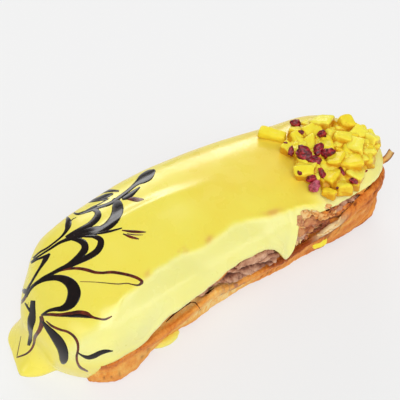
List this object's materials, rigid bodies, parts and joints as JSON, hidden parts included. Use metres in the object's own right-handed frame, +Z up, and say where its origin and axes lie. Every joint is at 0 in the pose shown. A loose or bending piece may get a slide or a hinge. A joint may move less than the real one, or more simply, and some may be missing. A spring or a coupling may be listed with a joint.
{
  "type": "eclair",
  "caption": "Choux eclair with mousse showing along one side, glossy yellow icing run down one end, chopped yellow fruit and dried berry bits on top.",
  "frame": {"origin": "on the table, under the middle of the part's box", "axes": "+X along the eclair towards the fruit, -Y the side where the filling shows, +Z up"},
  "size_m": [0.1457, 0.054, 0.0426],
  "materials": {
    "choux_crust": "baked choux crust, golden to orange brown, matte with a slight sheen",
    "mousse": "crumbly pinkish brown mousse, matte",
    "choux_lid_crust": "torn choux crust, tan to orange brown, matte",
    "icing": "smooth glossy poured yellow icing",
    "chopped_fruit": "moist chopped bright yellow fruit"
  },
  "bodies": {
    "root": {"choux_base": "choux_crust", "mousse": "mousse", "choux_lid": "choux_lid_crust", "icing": "icing", "icing_puddle": "icing", "fruit_heap": "chopped_fruit", "fruit_stick": "chopped_fruit"}
  },
  "joints": []
}
